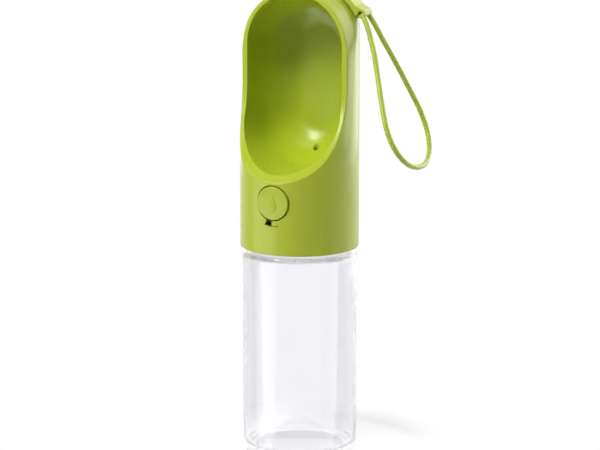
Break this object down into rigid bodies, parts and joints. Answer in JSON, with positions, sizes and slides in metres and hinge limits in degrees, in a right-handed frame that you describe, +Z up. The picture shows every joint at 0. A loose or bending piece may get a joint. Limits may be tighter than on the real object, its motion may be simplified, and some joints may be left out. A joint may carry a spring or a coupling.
{
  "type": "travel water bottle for dogs",
  "caption": "Clear water bottle with a screwed head holding a drinking trough, filled by pressing a lockable button, with a charcoal filter and a swinging carry strap.",
  "frame": {"origin": "centre of the bottle's base, in the plane it stands on", "axes": "+Z up the bottle towards the head, -Y out of the trough's open front and the button, +X to the side on which the strap hangs"},
  "size_m": [0.1047, 0.0748, 0.2773],
  "materials": {
    "clear": "clear, smooth",
    "lime": "satin",
    "lime_inner": "satin",
    "lime_rubber": "matt silicone rubber",
    "white": "satin",
    "silicone": "milky silicone rubber",
    "black_rubber": "matt",
    "steel": "bright",
    "carbon": "granular",
    "fleece": "non-woven"
  },
  "bodies": {
    "bottle": {"bottle": "clear"},
    "seal": {"neck_gasket": "silicone"},
    "head": {"head_shell": "lime", "trough_liner": "lime_inner", "thread_collar": "white", "head_screws": "steel", "filter_housing": "white", "filter_lid": "white", "carbon_core": "carbon", "filter_pad": "fleece", "valve_body": "white", "valve_screws": "steel", "inlet_gasket": "silicone", "riser_tube": "silicone", "end_plug": "white", "plug_oring": "black_rubber", "shaft_seal": "black_rubber", "seal_retainer": "white", "return_spring": "steel", "strap_pin": "steel"},
    "button": {"button_cap": "lime", "valve_stem": "steel", "valve_disc": "black_rubber"},
    "lock": {"lock_ring": "lime"},
    "strap": {"strap_band": "lime_rubber", "strap_loop": "lime_rubber"}
  },
  "joints": [
    {"name": "head_lift", "type": "slide", "parent": "bottle", "child": "seal", "axis": [0, 0, 1], "range_m": [0, 0.01]},
    {"name": "head_unscrew", "type": "hinge", "parent": "seal", "child": "head", "pos_m": [0, 0, 0.1347], "axis": [0, 0, 1], "range_deg": [0, 720]},
    {"name": "button_press", "type": "slide", "parent": "head", "child": "button", "axis": [0, 1, 0], "range_m": [0, 0.0035], "stiffness_N_per_m": 400, "springref_m": -0.004, "deforming": ["return_spring"]},
    {"name": "lock_turn", "type": "hinge", "parent": "head", "child": "lock", "pos_m": [0, 0, 0.151], "axis": [0, 1, 0], "range_deg": [0, 18]},
    {"name": "strap_swing", "type": "hinge", "parent": "head", "child": "strap", "pos_m": [0, 0.015, 0.2739], "axis": [0, -1, 0], "range_deg": [0, 120]}
  ],
  "couplings": [
    {"joint": "head_lift", "follows": "head_unscrew", "m_per_rad": 0.00079577}
  ]
}
